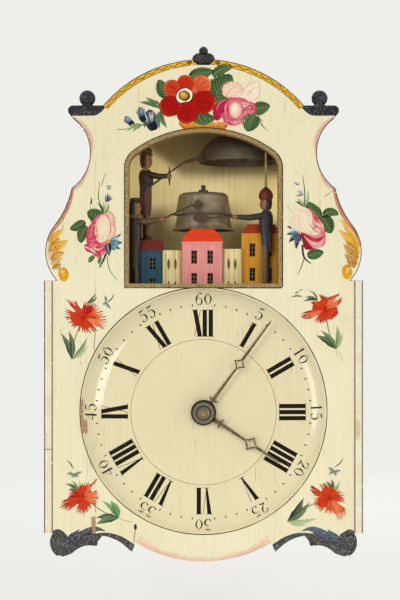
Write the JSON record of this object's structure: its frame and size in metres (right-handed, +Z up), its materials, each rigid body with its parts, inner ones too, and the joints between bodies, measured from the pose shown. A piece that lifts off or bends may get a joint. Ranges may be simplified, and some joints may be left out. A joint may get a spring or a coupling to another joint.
{
  "type": "black forest shield clock",
  "caption": "Painted wooden shield wall clock with a turned dial over a wooden movement, and an arched stage where carved figures strike bells.",
  "frame": {"origin": "centre of the hanging hole, on the back face that lies against the wall", "axes": "+Z up, +Y into the wall, so the dial faces -Y and +X is to the viewer's right"},
  "size_m": [0.287, 0.1454, 0.4646],
  "materials": {
    "shield_paint": "oil paint and varnish on pine, aged and cracked",
    "strip_paint": "worn pinkish beige paint",
    "dark_paint": "black-blue paint, speckled",
    "bead_paint": "worn ochre paint",
    "bare_wood": "bare aged softwood",
    "beech": "bare beech",
    "stage_paint": "thin cream paint, streaked",
    "house_blue_paint": "matt paint",
    "house_pink_paint": "matt paint",
    "house_yellow_paint": "matt paint",
    "town_wall_paint": "matt paint",
    "figure_left_paint": "dark green-black paint on carved wood",
    "figure_upper_paint": "brown paint on carved wood",
    "figure_right_paint": "dark blue-brown paint on carved wood",
    "hammer_paint": "bare and worn wood",
    "bell_metal": "cast, dull grey-brown",
    "brass": "worn brass",
    "hand_brass": "darkened brass",
    "iron": "dark iron wire and plate"
  },
  "bodies": {
    "case": {"shield_board": "shield_paint", "edge_strips": "strip_paint", "side_finials": "dark_paint", "finial_top": "dark_paint", "opening_bead": "bead_paint", "shield_battens": "bare_wood", "top_board": "bare_wood", "stage_back": "stage_paint", "stage_side_left": "stage_paint", "stage_side_right": "stage_paint", "stage_roof": "bare_wood", "house_blue": "house_blue_paint", "house_pink": "house_pink_paint", "house_yellow": "house_yellow_paint", "town_wall_left": "town_wall_paint", "town_wall_right": "town_wall_paint", "bell_upper": "bell_metal", "bell_lower": "bell_metal", "bell_large": "bell_metal", "bell_post": "iron", "bell_post_nut": "iron", "large_bell_screw": "iron", "bottom_board": "bare_wood", "corner_posts": "beech", "front_bars": "beech", "rear_bars": "beech", "pivot_bushes": "brass", "back_panel": "bare_wood", "hanging_plate": "iron", "motion_stud": "iron", "suspension_stud": "iron"},
    "figure_left": {"figure_left_body": "figure_left_paint", "figure_left_hammer": "hammer_paint", "figure_left_arbor": "iron"},
    "figure_right": {"figure_right_body": "figure_right_paint", "figure_right_hammer": "hammer_paint", "figure_right_arbor": "iron"},
    "figure_upper": {"figure_upper_body": "figure_upper_paint", "figure_upper_hammer": "hammer_paint", "figure_upper_arbor": "iron"},
    "door_left": {"door_left": "bare_wood"},
    "door_right": {"door_right": "bare_wood"},
    "great_wheel": {"great_wheel": "brass"},
    "centre_wheel": {"centre_wheel": "brass"},
    "third_wheel": {"third_wheel": "brass"},
    "escape_wheel": {"escape_wheel": "brass"},
    "anchor": {"anchor": "iron"},
    "pendulum": {"pendulum_rod": "iron", "pendulum_bob": "brass"},
    "minute": {"minute_hand": "hand_brass", "hand_nut": "hand_brass", "cannon_pinion": "brass"},
    "hour": {"hour_hand": "hand_brass", "hour_wheel": "brass"},
    "motion": {"motion_wheel": "brass"},
    "hour_strike": {"hour_strike_wheel": "brass"},
    "hour_fly": {"hour_fly": "brass"},
    "quarter_strike": {"quarter_strike_wheel": "brass"},
    "quarter_fly": {"quarter_fly": "brass"}
  },
  "joints": [
    {"name": "minute_turn", "type": "hinge", "parent": "case", "child": "minute", "pos_m": [0, -0.1402, -0.176], "axis": [0, 1, 0], "continuous": true},
    {"name": "hour_turn", "type": "hinge", "parent": "case", "child": "hour", "pos_m": [0, -0.1354, -0.176], "axis": [0, 1, 0], "continuous": true},
    {"name": "motion_turn", "type": "hinge", "parent": "case", "child": "motion", "pos_m": [0, -0.1, -0.2], "axis": [0, 1, 0], "continuous": true},
    {"name": "centre_turn", "type": "hinge", "parent": "case", "child": "centre_wheel", "pos_m": [0, -0.058, -0.176], "axis": [0, 1, 0], "continuous": true},
    {"name": "great_turn", "type": "hinge", "parent": "case", "child": "great_wheel", "pos_m": [0, -0.0443, -0.216], "axis": [0, 1, 0], "continuous": true},
    {"name": "third_turn", "type": "hinge", "parent": "case", "child": "third_wheel", "pos_m": [0, -0.0682, -0.14675], "axis": [0, 1, 0], "continuous": true},
    {"name": "escape_turn", "type": "hinge", "parent": "case", "child": "escape_wheel", "pos_m": [0, -0.0484, -0.12085], "axis": [0, 1, 0], "continuous": true},
    {"name": "anchor_rock", "type": "hinge", "parent": "case", "child": "anchor", "pos_m": [0, -0.0484, -0.096], "axis": [0, 1, 0], "range_deg": [-4, 4]},
    {"name": "pendulum_swing", "type": "hinge", "parent": "case", "child": "pendulum", "pos_m": [0, -0.0135, -0.096], "axis": [0, 1, 0], "range_deg": [-4, 4]},
    {"name": "hour_strike_turn", "type": "hinge", "parent": "case", "child": "hour_strike", "pos_m": [-0.046, -0.0567, -0.126], "axis": [0, 1, 0], "continuous": true},
    {"name": "hour_fly_turn", "type": "hinge", "parent": "case", "child": "hour_fly", "pos_m": [-0.046, -0.0567, -0.1532], "axis": [0, 1, 0], "continuous": true},
    {"name": "quarter_strike_turn", "type": "hinge", "parent": "case", "child": "quarter_strike", "pos_m": [0.046, -0.0567, -0.126], "axis": [0, 1, 0], "continuous": true},
    {"name": "quarter_fly_turn", "type": "hinge", "parent": "case", "child": "quarter_fly", "pos_m": [0.046, -0.0567, -0.1532], "axis": [0, 1, 0], "continuous": true},
    {"name": "figure_left_strike", "type": "hinge", "parent": "case", "child": "figure_left", "pos_m": [-0.0626, -0.0985, -0.072], "axis": [0, 0, 1], "range_deg": [-12, 0], "stiffness_Nm_per_rad": 0.02},
    {"name": "figure_right_strike", "type": "hinge", "parent": "case", "child": "figure_right", "pos_m": [0.0572, -0.0985, -0.072], "axis": [0, 0, 1], "range_deg": [0, 12], "stiffness_Nm_per_rad": 0.02},
    {"name": "figure_upper_strike", "type": "hinge", "parent": "case", "child": "figure_upper", "pos_m": [-0.0534, -0.079, -0.0208], "axis": [0, 0, 1], "range_deg": [-12, 0], "stiffness_Nm_per_rad": 0.02},
    {"name": "door_left_swing", "type": "hinge", "parent": "case", "child": "door_left", "pos_m": [-0.082, -0.014, -0.165], "axis": [0, 0, 1], "range_deg": [-90, 0]},
    {"name": "door_right_swing", "type": "hinge", "parent": "case", "child": "door_right", "pos_m": [0.082, -0.014, -0.165], "axis": [0, 0, 1], "range_deg": [0, 90]}
  ],
  "couplings": [
    {"joint": "motion_turn", "follows": "minute_turn", "ratio": -0.33333},
    {"joint": "hour_turn", "follows": "minute_turn", "ratio": 0.083333},
    {"joint": "escape_turn", "follows": "third_turn", "ratio": -11.333},
    {"joint": "centre_turn", "follows": "third_turn", "ratio": -0.083333},
    {"joint": "great_turn", "follows": "third_turn", "ratio": 0.0092593},
    {"joint": "anchor_rock", "follows": "pendulum_swing", "ratio": 1},
    {"joint": "hour_fly_turn", "follows": "hour_strike_turn", "ratio": -7.5},
    {"joint": "quarter_fly_turn", "follows": "quarter_strike_turn", "ratio": -7.5}
  ]
}
